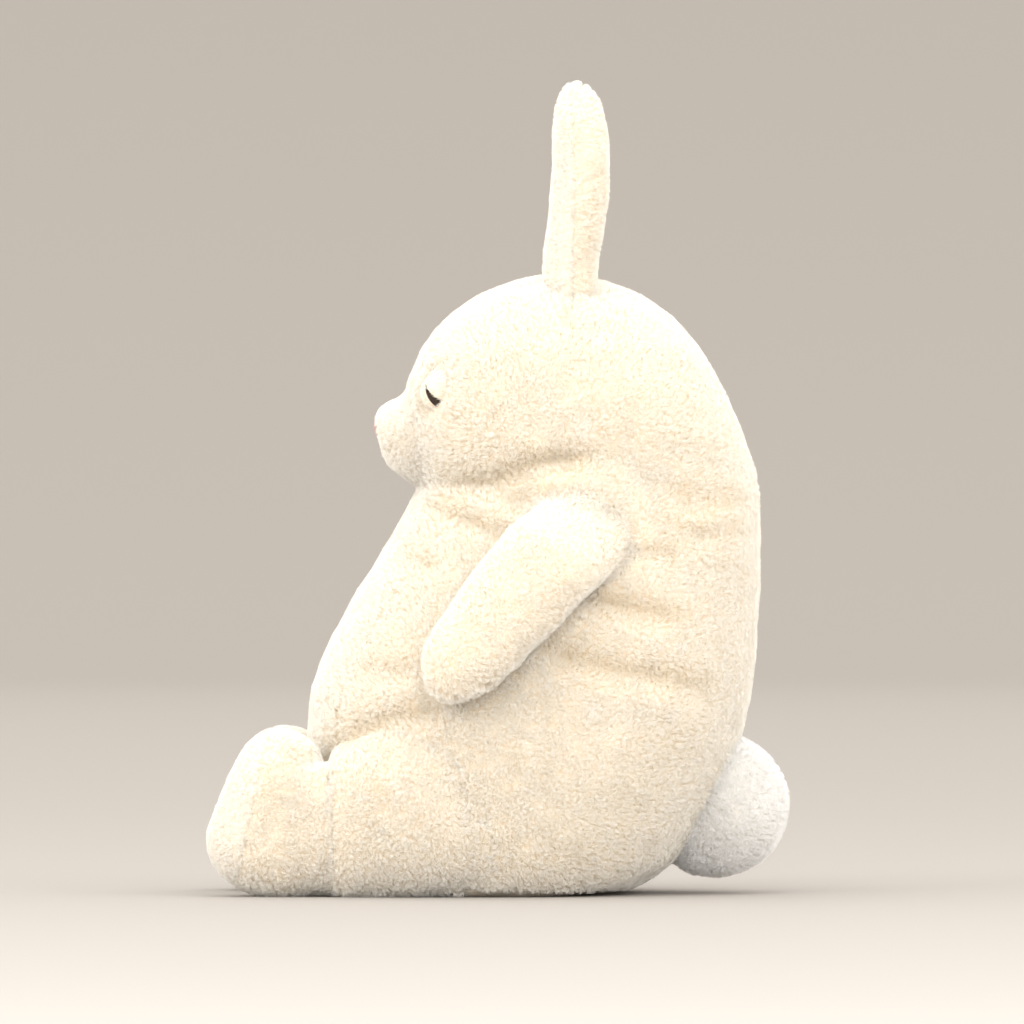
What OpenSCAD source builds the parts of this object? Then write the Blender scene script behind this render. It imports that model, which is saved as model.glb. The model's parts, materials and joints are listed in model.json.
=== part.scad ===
// Sitting plush rabbit: a pear-shaped torso with the head grown into it, standing ears,
// hanging arms, legs along the floor with upright feet, and a ball tail.
// +X is the rabbit's left, -Y is the way it faces, +Z is up, z = 0 is the floor.
// Every limb is drawn on the rabbit's left and mirrored for the right.

/* [Body] */
// Height from the floor to the crown, without the ears
body_h = 345; // [335:1:355]
// Width across the widest part of the torso
body_w = 236; // [228:1:244]
// Squareness of the torso's level sections, 2 is a plain oval
body_square = 2.25; // [2.15:0.05:2.35]
// Thickness of the pile fabric's backing
cloth = 3; // [2.5:0.1:3.2]
// Clearance left between the cloth and what it holds
ease = 0.3; // [0.2:0.05:0.5]

/* [Ears] */
// Length of an ear above its seam
ear_len = 114; // [100:1:120]
// Widest width of an ear
ear_w = 46; // [40:1:48]
// How far each ear leans outwards, in degrees
ear_lean = 6; // [3:1:9]
// How far the front of each ear turns outwards, in degrees
ear_turn = 12; // [5:1:18]

/* [Arms] */
// Length of an arm from its shoulder to the paw's tip
arm_len = 130; // [115:1:132]
// Widest width of an arm
arm_w = 52; // [46:1:53]
// Angle of the hanging arm below the level, in degrees
arm_drop = 50; // [44:1:56]

/* [Feet] */
// Width of a foot across the sole
foot_w = 60; // [54:1:62]

/* [Tail] */
// Diameter of the tail
tail_d = 72; // [66:1:74]

/* [Face] */
// Diameter of the plastic eyes
eye_d = 18; // [16:1:20]

/* [Hidden] */

cream = "ivory";
pale = "snow";
wadding = "whitesmoke";
thread = "rosybrown";

big = 400;               // larger than the whole toy, for cutting volumes
joint_gap = 1.5;         // clearance all round a limb's rounded end
seam_gap = 0.1;                  // left between panels that are sewn together
$fn = 40;

// Torso levels: height, front, back, half width
torso_levels = [
    [0, -62, 56, 84], [3, -70, 66, 92], [10, -80, 82, 102], [22, -89, 98, 110],
    [45, -97, 113, 116], [72, -101, 127, 118], [100, -103, 137, 117], [130, -96, 141, 112],
    [160, -80, 144, 104], [190, -63, 145, 94], [212, -48, 145, 86], [230, -38, 144, 81],
    [244, -44, 141, 83], [262, -48, 134, 86], [283, -46, 124, 84], [300, -42, 115, 78],
    [315, -33, 104, 68], [327, -21, 91, 55], [337, -4, 75, 40], [343, 14, 58, 22],
    [345, 30, 44, 8]];
// Muzzle levels: height, front, back, half width
muzzle_levels = [
    [234, -44, -16, 14], [238, -56, -12, 24], [245, -63, -8, 30], [256, -66, -6, 33],
    [266, -69, -6, 32], [272, -68, -8, 26], [277, -62, -12, 18], [281, -52, -18, 10]];
// Leg stations: distance behind the rabbit's middle, half width, top height, distance sideways
leg_stations = [
    [-112, 26, 58, 68], [-100, 32, 70, 69], [-85, 37, 84, 71], [-65, 41, 95, 73],
    [-40, 44, 102, 75], [-15, 43, 100, 75], [8, 37, 84, 73], [26, 24, 56, 70],
    [34, 11, 32, 68]];
// Foot levels: height, front, back, half width
foot_levels = [
    [3, -132, -108, 12], [9, -147, -98, 22], [18, -157, -91, 28], [30, -161, -85, 30],
    [42, -158, -85, 30], [55, -152, -91, 30], [68, -147, -99, 28], [80, -141, -103, 23],
    [87, -134, -109, 15], [90, -128, -116, 7]];
// Ear stations: distance up from the seam, half width, half thickness, bend backwards
ear_stations = [
    [-12.8, 6, 2.2, 0], [-10, 11, 8.3, 0], [-5, 14, 12, 0], [0, 15.5, 13, 0],
    [15, 17, 12.5, 0.5], [40, 21, 12.5, 5], [64, 23, 13, 8], [85, 22, 12.5, 8],
    [100, 17, 10.5, 7], [110, 10.5, 7, 5.5], [114, 5, 3.5, 5]];
// Arm stations: distance from the shoulder, half width, half thickness, middle off the side
arm_stations = [
    [-25, 3, 3, 3], [-20, 15, 12, 3], [-10, 22.5, 18, 4], [0, 25, 20, 6], [12, 26, 21, 12.5],
    [24, 26, 20.5, 19], [34, 26, 20, 23], [48, 25.5, 19.5, 23], [70, 24, 18.5, 22],
    [95, 22, 17.5, 21], [112, 19, 15.5, 20], [124, 13, 11, 19.5], [130, 5, 4.5, 19.5]];
// Pouch levels: height, front, back, half width
pouch_levels = [[3.4, -36, 28, 42], [6, -48, 40, 54], [16, -54, 46, 60], [26, -48, 40, 54],
                [31, -34, 26, 38]];

side_lean = 18;                  // lean of the body's side at the shoulder, in degrees
neck_z = 232;
base_z = 6;                      // the base panel's seam
belly_w = 132;                   // the belly panel, seam to seam
gusset_w = 48;                   // the crown gusset, seam to seam
torso_mid = [0, 42, 150];
torso_half = [118, 120, 172];
muzzle_mid = [0, -38, 257];
muzzle_half = [33, 31, 24];
leg_mid = [72, -40, 52];
leg_half = [44, 72, 51];
foot_mid = [68, -123, 44];
foot_half = [30, 38, 43];
arm_mid = [52, 0, 18];
arm_half = [78, 26, 20];
ear_mid = [0, 4, 50];
ear_half = [22, 12.5, 62];
pouch_mid = [0, -4, 17];
pouch_half = [60, 50, 14];

ankle = [68, -110, 36];          // the foot's hinge
ankle_r = 31;
ankle_face = -92;                // where the leg's front end stands
tail_at = [0, 124, 50];
tail_hinge_y = 110;
tail_swing = 12;
ear_at = [30, 40, 341];
ear_seat_r = 13.2 + joint_gap;
ear_seat_l = 37;
shoulder_y = 50;
shoulder_z = 205;
shoulder_seat_r = 30.5;
shoulder_out = 2;                // the seat's centre, outside the body's side
eye_z = 283;
eye_x = 48;
eye_toe_out = 34;                // the eye's axis away from straight ahead
eye_bulge = 5.5;
eye_ball_r = (pow(eye_d / 2, 2) + pow(eye_bulge, 2)) / (2 * eye_bulge);
stem_r = 2.5;
stem_l = 16;
washer_r = 8;
washer_t = 1.5;
washer_deep = 6.9;               // the washer's face below the eye's back
lid_t = 1.2;
lid_slope = -42;                 // slope of the lid's edge, down towards the cheek
lid_edge = -2.5;                 // the lid's edge, above the eye's middle
pouch_t = 1;
pouch_seam_z = 16;
ear_cloth = 2.5;
arm_seam = 20;                   // the arm's seam, off the body's side
stitch_r = 0.8;

// ---- Curves ----
function slope_at(t, i, c) =
    let (a = max(i - 1, 0), b = min(i + 1, len(t) - 1)) (t[b][c] - t[a][c]) / (t[b][0] - t[a][0]);
function span_of(t, k, i = 0) = (i >= len(t) - 2 || k <= t[i + 1][0]) ? i : span_of(t, k, i + 1);
// A smooth curve through column c of a table, at key k
function curve_at(t, k, c) =
    let (i = span_of(t, k), h = t[i + 1][0] - t[i][0], u = (k - t[i][0]) / h,
         m0 = slope_at(t, i, c) * h, m1 = slope_at(t, i + 1, c) * h)
    t[i][c] * (1 + 2 * u) * pow(1 - u, 2) + m0 * u * pow(1 - u, 2)
    + t[i + 1][c] * u * u * (3 - 2 * u) + m1 * u * u * (u - 1);
// Keys spread along a table, closer together at both ends
function keys_of(t, n) =
    [for (i = [0:n]) t[0][0] + (t[len(t) - 1][0] - t[0][0]) * (1 - cos(180 * i / n)) / 2];
function oval(n, a, b, p) =
    [for (i = [0:n - 1]) let (c = cos(360 * i / n), s = sin(360 * i / n))
        [a * sign(c) * pow(abs(c), 2 / p), b * sign(s) * pow(abs(s), 2 / p)]];

// A closed skin over rings of equal length, stacked along their axis, with its triangles
// laid out the same way on both sides of the middle
module loft(rings) {
    n = len(rings[0]);
    last = len(rings) - 1;
    polyhedron(
        points = [for (r = rings) each r],
        faces = [
            [for (j = [0:n - 1]) j],
            [for (j = [n - 1:-1:0]) last * n + j],
            for (i = [0:last - 1]) for (j = [0:n - 1])
                let (k = (j + 1) % n, a = i * n + j, b = a + n, c = (i + 1) * n + k, d = i * n + k)
                each abs(j + 0.5 - n / 2) > n / 4 ? [[a, b, c], [a, c, d]] : [[a, b, d], [b, c, d]]]);
}

// Level sections from a table of height, front, back and half width
module level_loft(t, n, rings, p, wide = 1, x = 0)
    loft([for (k = keys_of(t, rings))
        let (f = curve_at(t, k, 1), b = curve_at(t, k, 2), w = curve_at(t, k, 3) * wide)
        [for (q = oval(n, w, (b - f) / 2, p)) [x + q.x, (f + b) / 2 + q.y, k]]]);

// Moves a form's skin in by t, towards its middle
module inset(t, mid, half)
    translate(mid) scale([for (h = half) 1 - t / h]) translate(-mid) children();

module on(side) mirror([side == "left" ? 0 : 1, 0, 0]) children();
module both() {
    children();
    mirror([1, 0, 0]) children();
}
// Keeps a soft piece as one sewn skin
module sewn() resize([0, 0, 0]) children();

// ---- Forms ----
module torso_form(t = 0)
    inset(t, torso_mid, torso_half) scale([1, 1, body_h / 345])
        level_loft(torso_levels, 32, 18, body_square, body_w / 236);

function side_x(z) = curve_at(torso_levels, z, 3) * body_w / 236;
// How far forward the torso reaches at height z, x from its middle
function front_y(x, z) =
    let (f = curve_at(torso_levels, z, 1), b = curve_at(torso_levels, z, 2))
    (f + b) / 2 - (b - f) / 2 * pow(1 - pow(x / side_x(z), body_square), 1 / body_square);

module at_shoulder()
    translate([side_x(shoulder_z), shoulder_y, shoulder_z * body_h / 345])
        rotate([0, 90 - side_lean, 0]) children();
module at_ear()
    translate([ear_at.x, ear_at.y, ear_at.z * body_h / 345])
        rotate([0, ear_lean, 0]) rotate([0, 0, ear_turn]) children();
module at_eye()
    translate([eye_x, front_y(eye_x, eye_z) - 1, eye_z * body_h / 345])
        rotate([0, 0, eye_toe_out]) rotate([90, 0, 0]) children();

// The hollows that hold the rounded ends of the limbs
module seats(t) {
    both() {
        at_shoulder() translate([0, 0, shoulder_out]) sphere(shoulder_seat_r + t, $fn = 20);
        at_ear() rotate([0, 90, 0])
            cylinder(r = ear_seat_r + t, h = ear_seat_l + 2 * t, center = true, $fn = 20);
    }
    hull() for (swing = [-1, 1])
        translate(tail_at + [swing * (tail_at.y - tail_hinge_y) * sin(tail_swing), 0, 0])
            sphere(tail_d / 2 + joint_gap + t, $fn = 20);
}
module eye_ways(r) both() at_eye() translate([0, 0, -stem_l - 1])
    cylinder(r = r, h = stem_l + 9, $fn = 14);

module torso(t) difference() {
    torso_form(t);
    seats(t);
}
module torso_skin() difference() {
    torso(0);
    torso(cloth);
    eye_ways(stem_r + ease);
}

module leg_form(t = 0)
    inset(t, leg_mid, leg_half) rotate([90, 0, 0]) mirror([0, 0, 1])
        loft([for (k = keys_of(leg_stations, 11))
            let (w = curve_at(leg_stations, k, 1), top = curve_at(leg_stations, k, 2),
                 x = curve_at(leg_stations, k, 3))
            [for (q = oval(20, w, (top - 1) / 2, 2.3)) [x + q.x, (top + 1) / 2 + q.y, k]]]);
module leg(t, clear) difference() {
    leg_form(t);
    translate(ankle) sphere(ankle_r + joint_gap + t, $fn = 24);
    translate([-big / 2, ankle_face + t - big, -big / 2]) cube(big);
    torso_form(-clear);
}
module foot_form(t = 0)
    inset(t, foot_mid, foot_half) level_loft(foot_levels, 18, 10, 2.2, foot_w / 60, ankle.x);
module ear_form(t = 0)
    at_ear() scale([1, 1, ear_len / 114]) inset(t, ear_mid, ear_half)
        loft([for (k = keys_of(ear_stations, 11))
            let (w = curve_at(ear_stations, k, 1) * ear_w / 46, y = curve_at(ear_stations, k, 3))
            [for (q = oval(16, w, curve_at(ear_stations, k, 2), 2)) [q.x, y + q.y, k]]]);
module along_arm() at_shoulder() rotate([0, 0, arm_drop - 90]) children();
module arm_form(t = 0)
    along_arm() inset(t, arm_mid, arm_half) rotate([90, 0, 90])
        loft([for (k = keys_of(arm_stations, 12))
            let (w = curve_at(arm_stations, k, 1) * arm_w / 52, z = curve_at(arm_stations, k, 3))
            [for (q = oval(16, w, curve_at(arm_stations, k, 2), 2.1))
                [q.x, z + q.y, k * arm_len / 130]]]);
module muzzle(t, clear) difference() {
    inset(t, muzzle_mid, muzzle_half) level_loft(muzzle_levels, 24, 8, 2.2);
    torso_form(-clear);
}

// ---- Where the torso's panels meet ----
module base_region() translate([-big / 2, -big / 2, -1]) cube([big, big, base_z + 1]);
module belly_region() translate([-belly_w / 2, -big, base_z]) cube([belly_w, big, neck_z - base_z]);
module crown_region() translate([-gusset_w / 2, -big / 2, neck_z]) cube([gusset_w, big, big]);
module left_region() translate([0, -big / 2, -1]) cube(big);
module head_region() translate([-big / 2, -big / 2, neck_z]) cube(big);

// ---- Body ----
module side_panel(side) color(cream) sewn() on(side) difference() {
    intersection() {
        torso_skin();
        left_region();
    }
    base_region();
    belly_region();
    crown_region();
}
module crown_gusset() color(cream) sewn() intersection() {
    torso_skin();
    crown_region();
}
module belly_panel() color(cream) sewn() intersection() {
    torso_skin();
    belly_region();
}
module base_panel() color(cream) sewn() intersection() {
    torso_skin();
    base_region();
}
module muzzle_panel() color(pale) sewn() difference() {
    muzzle(0, seam_gap);
    muzzle(cloth, -1);
}
module muzzle_stuffing() color(wadding) sewn() muzzle(cloth + ease, ease);

module pouch_form(t = 0)
    inset(t, pouch_mid, pouch_half) level_loft(pouch_levels, 20, 6, 2.2);
module body_stuffing() color(wadding) sewn() difference() {
    torso(cloth + ease);
    head_region();
    hull() {
        pouch_form(-ease);
        translate([0, 0, -20]) pouch_form(-ease);
    }
}
module head_stuffing() color(wadding) sewn() difference() {
    intersection() {
        torso(cloth + ease);
        translate([0, 0, ease]) head_region();
    }
    eye_ways(washer_r + ease);
}
module pouch_skin() difference() {
    pouch_form();
    pouch_form(pouch_t);
}
module pouch_above() translate([-big / 2, -big / 2, pouch_seam_z]) cube(big);
module pellet_pouch_top() color(pale) sewn() intersection() {
    pouch_skin();
    pouch_above();
}
module pellet_pouch_bottom() color(pale) sewn() difference() {
    pouch_skin();
    pouch_above();
}
module pellet_fill() color(wadding) sewn() pouch_form(pouch_t + ease);

module leg_panel(side) color(cream) sewn() on(side) difference() {
    leg(0, seam_gap);
    leg(cloth, -1);
}
module leg_stuffing(side) color(wadding) sewn() on(side) leg(cloth + ease, ease);

// ---- Face ----
module eye(side) color("black") on(side) at_eye() rotate_extrude() {
    intersection() {
        translate([0, eye_bulge - eye_ball_r]) circle(eye_ball_r);
        square([eye_d / 2, eye_bulge]);
    }
    translate([0, -stem_l]) square([stem_r, stem_l + 1]);
}
module eye_washer(side) color(wadding) on(side) at_eye() translate([0, 0, -washer_deep - washer_t])
    difference() {
        cylinder(r = washer_r, h = washer_t);
        translate([0, 0, -1]) cylinder(r = stem_r, h = washer_t + 2);
    }
module lid_dome(t) translate([0, 0, eye_bulge - eye_ball_r]) sphere(eye_ball_r + t, $fn = 24);
module eyelid(side) color(pale) sewn() on(side) at_eye() intersection() {
    difference() {
        lid_dome(ease + lid_t);
        lid_dome(ease);
    }
    rotate([0, 0, lid_slope]) translate([-big / 2, lid_edge, 0.1]) cube(big);
}

// A straight stitch between two points
module stitch(a, b) hull() for (p = [a, b]) translate(p) sphere(stitch_r, $fn = 10);
module nose_embroidery() color(thread) sewn() hull() {
    for (x = [-5.5, 5.5]) translate([x, -67.6, 265]) sphere(1.6, $fn = 12);
    translate([0, -67.6, 259]) sphere(1.6, $fn = 12);
}
module mouth_stitches() color(thread) {
    stitch([0, -67.8, 256.5], [0, -66.2, 250]);
    for (s = [-1, 1]) stitch([s * 2.2, -65.6, 248.5], [s * 8, -63.2, 245]);
}
// The hand stitches that shut the stuffing slit, across the seam under the tail
module closing_stitches() color(cream) for (i = [-4:4])
    translate([i * 5, 75.2 - 0.06 * i * i, base_z - 0.8]) rotate([-66, 0, 0])
        cylinder(r = stitch_r, h = 6, center = true, $fn = 8);

// ---- Ears ----
module ear_skin() difference() {
    ear_form();
    ear_form(ear_cloth);
}
module ear_front() at_ear() translate([-big / 2, -big, -big / 2]) cube(big);
module ear_back(side) color(cream) sewn() on(side) difference() {
    ear_skin();
    ear_front();
}
module ear_lining(side) color(pale) sewn() on(side) intersection() {
    ear_skin();
    ear_front();
}
module ear_wadding(side) color(wadding) sewn() on(side) ear_form(ear_cloth + ease);

// ---- Arms ----
module arm_skin() difference() {
    arm_form();
    arm_form(cloth);
}
module arm_out() along_arm() translate([-big / 2, -big / 2, arm_seam]) cube(big);
module arm_outer(side) color(cream) sewn() on(side) intersection() {
    arm_skin();
    arm_out();
}
module arm_inner(side) color(cream) sewn() on(side) difference() {
    arm_skin();
    arm_out();
}
module arm_stuffing(side) color(wadding) sewn() on(side) arm_form(cloth + ease);

// ---- Feet ----
module foot_skin() difference() {
    foot_form();
    foot_form(cloth);
}
// The sole's side of the slanting seam round the front of the foot
module sole_side() translate([0, -139, 42]) rotate([-12, 0, 0])
    translate([-big / 2, -big, -big / 2]) cube(big);
module foot_upper(side) color(cream) sewn() on(side) difference() {
    foot_skin();
    sole_side();
}
module foot_sole(side) color(pale) sewn() on(side) intersection() {
    foot_skin();
    sole_side();
}
module foot_stuffing(side) color(wadding) sewn() on(side) foot_form(cloth + ease);

// ---- Tail ----
module tail_half(side) color(pale) on(side) translate(tail_at)
    rotate([0, 0, -90]) rotate_extrude(angle = 180) intersection() {
        difference() {
            circle(tail_d / 2);
            circle(tail_d / 2 - cloth);
        }
        translate([0, -big / 2]) square(big);
    }
module tail_stuffing() color(wadding) translate(tail_at) sphere(tail_d / 2 - cloth - ease);

side_panel("left");  // side_panel_left
side_panel("right");  // side_panel_right
crown_gusset();
belly_panel();
base_panel();
muzzle_panel();
body_stuffing();
head_stuffing();
muzzle_stuffing();
pellet_pouch_top();
pellet_pouch_bottom();
pellet_fill();
leg_panel("left");  // leg_panel_left
leg_panel("right");  // leg_panel_right
leg_stuffing("left");  // leg_stuffing_left
leg_stuffing("right");  // leg_stuffing_right
eye("left");  // eye_left
eye("right");  // eye_right
eye_washer("left");  // eye_washer_left
eye_washer("right");  // eye_washer_right
eyelid("left");  // eyelid_left
eyelid("right");  // eyelid_right
nose_embroidery();
mouth_stitches();
closing_stitches();
ear_back("left");  // ear_back_left
ear_back("right");  // ear_back_right
ear_lining("left");  // ear_lining_left
ear_lining("right");  // ear_lining_right
ear_wadding("left");  // ear_wadding_left
ear_wadding("right");  // ear_wadding_right
arm_outer("left");  // arm_outer_left
arm_outer("right");  // arm_outer_right
arm_inner("left");  // arm_inner_left
arm_inner("right");  // arm_inner_right
arm_stuffing("left");  // arm_stuffing_left
arm_stuffing("right");  // arm_stuffing_right
foot_upper("left");  // foot_upper_left
foot_upper("right");  // foot_upper_right
foot_sole("left");  // foot_sole_left
foot_sole("right");  // foot_sole_right
foot_stuffing("left");  // foot_stuffing_left
foot_stuffing("right");  // foot_stuffing_right
tail_half("left");  // tail_half_left
tail_half("right");  // tail_half_right
tail_stuffing();
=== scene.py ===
import bmesh
import bpy
import json
import math
import numpy as np
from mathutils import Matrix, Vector
from mathutils.bvhtree import BVHTree


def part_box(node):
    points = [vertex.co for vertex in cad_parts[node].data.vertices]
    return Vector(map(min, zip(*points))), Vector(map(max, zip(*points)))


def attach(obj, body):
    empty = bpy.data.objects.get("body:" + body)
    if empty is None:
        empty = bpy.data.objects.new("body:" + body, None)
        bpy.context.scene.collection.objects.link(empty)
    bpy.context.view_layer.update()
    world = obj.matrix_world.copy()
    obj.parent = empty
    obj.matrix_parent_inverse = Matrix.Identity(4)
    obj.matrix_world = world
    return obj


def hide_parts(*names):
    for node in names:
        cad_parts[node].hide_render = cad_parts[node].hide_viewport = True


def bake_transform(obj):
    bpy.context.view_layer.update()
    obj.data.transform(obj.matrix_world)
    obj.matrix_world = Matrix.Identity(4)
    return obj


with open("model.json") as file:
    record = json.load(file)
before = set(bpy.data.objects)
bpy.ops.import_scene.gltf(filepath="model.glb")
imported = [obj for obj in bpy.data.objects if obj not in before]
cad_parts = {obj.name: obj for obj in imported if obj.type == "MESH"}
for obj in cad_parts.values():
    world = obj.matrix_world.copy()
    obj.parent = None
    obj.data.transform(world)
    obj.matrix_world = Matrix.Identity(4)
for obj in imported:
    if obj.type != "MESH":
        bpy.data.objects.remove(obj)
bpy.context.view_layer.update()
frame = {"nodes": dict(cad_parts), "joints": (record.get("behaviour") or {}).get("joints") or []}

mm = 0.001
sideSign = {"left": 1, "right": -1}
joints = {joint["name"]: joint for joint in frame["joints"]}

studio = {
    "lens": 500,               # long, so the outline keeps its true proportions
    "fieldWidth": 0.5796,      # metres across the frame at the toy
    "aim": (0, 8.5 * mm, 215.6 * mm),
    "floorColor": (0.36, 0.335, 0.31),
    "floorFlat": 10,           # radius before the floor curves up into the backdrop
    "floorCurve": 3,
    "skyColor": (1.0, 0.965, 0.92),
    "skyStrength": 1.76,
    "lamps": [
        {"name": "top", "at": (0.5, -0.2, 2.6), "size": 2.4, "power": 12},
        {"name": "front", "at": (2.0, -1.9, 1.3), "size": 1.4, "power": 24},
        {"name": "side", "at": (3.2, 0.2, 0.7), "size": 2.2, "power": 52},
        {"name": "back", "at": (1.8, 2.0, 1.2), "size": 1.4, "power": 16},
    ],
}


def buildStudio():
    scene = bpy.context.scene
    scene.view_settings.view_transform = "Standard"
    camera = bpy.data.objects.new("camera", bpy.data.cameras.new("camera"))
    scene.collection.objects.link(camera)
    camera.data.lens = studio["lens"]
    distance = studio["fieldWidth"] * studio["lens"] / camera.data.sensor_width
    camera.location = Vector(studio["aim"]) + Vector((distance, 0, 0))
    camera.rotation_euler = (math.radians(90), 0, math.radians(90))
    camera.data.clip_end = 100
    scene.camera = camera
    flat, curve = studio["floorFlat"], studio["floorCurve"]
    rings = [(flat * share, 0) for share in (0.02, 0.5, 1)]
    for step in range(1, 17):
        turn = math.radians(90 * step / 16)
        rings.append((flat + curve * math.sin(turn), curve * (1 - math.cos(turn))))
    turns = [2 * math.pi * step / 96 for step in range(96)]
    points = [(r * math.cos(t), r * math.sin(t), z) for r, z in rings for t in turns]
    faces = [tuple(range(96))]
    for ring in range(len(rings) - 1):
        for step in range(96):
            near, far = ring * 96 + step, ring * 96 + (step + 1) % 96
            faces.append((near, near + 96, far + 96, far))
    floor = makePiece("floor", points, faces)
    shadeSmooth(floor)
    material, nodes, links, shader = newMaterial("paleFloor")
    shader.inputs["Base Color"].default_value = (*studio["floorColor"], 1)
    shader.inputs["Roughness"].default_value = 0.9
    floor.data.materials.append(material)
    world = bpy.data.worlds.new("studio")
    world.use_nodes = True
    background = world.node_tree.nodes["Background"]
    background.inputs["Color"].default_value = (*studio["skyColor"], 1)
    background.inputs["Strength"].default_value = studio["skyStrength"]
    scene.world = world
    for entry in studio["lamps"]:
        lamp = bpy.data.lights.new(entry["name"], "AREA")
        lamp.size = entry["size"]
        lamp.energy = entry["power"]
        lampObject = bpy.data.objects.new(entry["name"], lamp)
        scene.collection.objects.link(lampObject)
        place = Vector(entry["at"])
        lampObject.location = place
        lampObject.rotation_euler = (Vector((0, 0, 0.2)) - place).to_track_quat("-Z", "Y").to_euler()


def readMesh(mesh):
    points = np.empty(len(mesh.vertices) * 3)
    mesh.vertices.foreach_get("co", points)
    faces = [tuple(face.vertices) for face in mesh.polygons]
    return points.reshape(-1, 3), faces


def pointNormals(mesh):
    normals = np.empty(len(mesh.vertices) * 3)
    mesh.vertices.foreach_get("normal", normals)
    return normals.reshape(-1, 3)


def writePoints(mesh, points):
    mesh.vertices.foreach_set("co", points.astype(np.float32).ravel())
    mesh.update()


def makePiece(name, points, faces):
    mesh = bpy.data.meshes.new(name)
    mesh.from_pydata(points, [], faces)
    mesh.update()
    piece = bpy.data.objects.new(name, mesh)
    bpy.context.scene.collection.objects.link(piece)
    return piece


def shadeSmooth(piece):
    piece.data.polygons.foreach_set("use_smooth", [True] * len(piece.data.polygons))


def addModifier(piece, kind, **values):
    modifier = piece.modifiers.new(kind.title(), kind)
    for name, value in values.items():
        setattr(modifier, name, value)
    return modifier


def applyModifiers(piece):
    bpy.context.view_layer.update()
    graph = bpy.context.evaluated_depsgraph_get()
    made = bpy.data.meshes.new_from_object(piece.evaluated_get(graph))
    piece.modifiers.clear()
    piece.data = made
    return piece


def joinedMesh(name, sources):
    points, faces, start = [], [], 0
    for source in sources:
        sourcePoints, sourceFaces = readMesh(source)
        points.append(sourcePoints)
        faces += [tuple(corner + start for corner in face) for face in sourceFaces]
        start += len(sourcePoints)
    return makePiece(name, np.concatenate(points), faces)


# A rounded, evenly meshed form from closed meshes, its skin moved out by grow
def softForm(name, sources, voxel, rounds, grow):
    piece = joinedMesh(name, sources)
    addModifier(piece, "REMESH", mode="VOXEL", voxel_size=voxel, use_smooth_shade=True)
    addModifier(piece, "SMOOTH", factor=0.5, iterations=rounds)
    addModifier(piece, "DISPLACE", strength=grow, mid_level=0)
    return applyModifiers(piece)


def nodeMeshes(*names):
    return [frame["nodes"][name].data for name in names]


def nodeMiddle(node):
    low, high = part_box(node)
    return np.array((low + high) / 2)


# One tree over some meshes, and for each of its faces the number of its mesh
def treeOf(meshes):
    points, faces, owners, start = [], [], [], 0
    for number, mesh in enumerate(meshes):
        meshPoints, meshFaces = readMesh(mesh)
        points += [Vector(point) for point in meshPoints]
        faces += [tuple(corner + start for corner in face) for face in meshFaces]
        owners += [number] * len(meshFaces)
        start += len(meshPoints)
    return BVHTree.FromPolygons(points, faces), np.array(owners)


def faceCentres(mesh):
    centres = np.empty(len(mesh.polygons) * 3)
    mesh.polygons.foreach_get("center", centres)
    return centres.reshape(-1, 3)


def nearest(tree, places):
    found = [tree.find_nearest(Vector(place)) for place in places]
    return np.array([hit[3] for hit in found]), np.array([hit[2] for hit in found])


def removeForms(*forms):
    for form in forms:
        bpy.data.objects.remove(form)


bodyLook = {
    "centre": (0, 42 * mm, 160 * mm),
    "seats": [("arm_swing_left", 36 * mm), ("arm_swing_right", 36 * mm),
              ("ear_flop_left", 27 * mm), ("ear_flop_right", 27 * mm)],
    "tailSeat": 46 * mm,
    "eyeSeat": 12 * mm,
    "clothAndEase": 3.3 * mm,
    "voxel": 2.0 * mm,
    "fillet": 12 * mm,         # reach of the soft run from torso into legs and muzzle
    "filletRounds": 65,
}


# The torso's skin as if no limb were set into it: each seat is bridged by a smooth patch
def bridgedTorso():
    centre = np.array(bodyLook["centre"])
    panels, owners = treeOf(nodeMeshes("side_panel_left", "side_panel_right", "crown_gusset",
                                       "belly_panel", "base_panel"))
    ball = bmesh.new()
    bmesh.ops.create_icosphere(ball, subdivisions=6, radius=1)
    rays = np.array([vertex.co.normalized() for vertex in ball.verts])
    reach = np.zeros(len(rays))
    for index, ray in enumerate(rays):
        hit = panels.ray_cast(Vector(centre + ray * 0.6), Vector(-ray))[0]
        reach[index] = (np.array(hit) - centre) @ ray
    points = centre + rays * reach[:, None]
    seats = [(np.array(joints[name]["pos_m"]), radius) for name, radius in bodyLook["seats"]]
    seats.append((nodeMiddle("tail_stuffing"), bodyLook["tailSeat"]))
    for side in sideSign:
        seats.append((nodeMiddle("eye_washer_" + side), bodyLook["eyeSeat"]))
    inSeat = np.zeros(len(rays), bool)
    for place, radius in seats:
        inSeat |= np.linalg.norm(points - place, axis=1) < radius
    for place, radius in seats:
        aim = (place - centre) / np.linalg.norm(place - centre)
        across = np.cross(aim, (0, 0, 1))
        across /= np.linalg.norm(across)
        upward = np.cross(across, aim)
        width = radius / np.linalg.norm(place - centre)
        away = rays - aim
        gap = np.linalg.norm(away, axis=1)
        patch = inSeat & (gap < width * 1.6)
        rim = ~inSeat & (gap < width * 2.2)
        u, v = away @ across / width, away @ upward / width
        terms = np.stack([u ** 0, u, v, u * u, u * v, v * v, u ** 3, u * u * v, u * v * v, v ** 3], 1)
        fit = np.linalg.lstsq(terms[rim], reach[rim], rcond=None)[0]
        reach[patch] = terms[patch] @ fit
    faces = [tuple(vertex.index for vertex in face.verts) for face in ball.faces]
    ball.free()
    return makePiece("torsoBridge", centre + rays * reach[:, None], faces)


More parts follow.
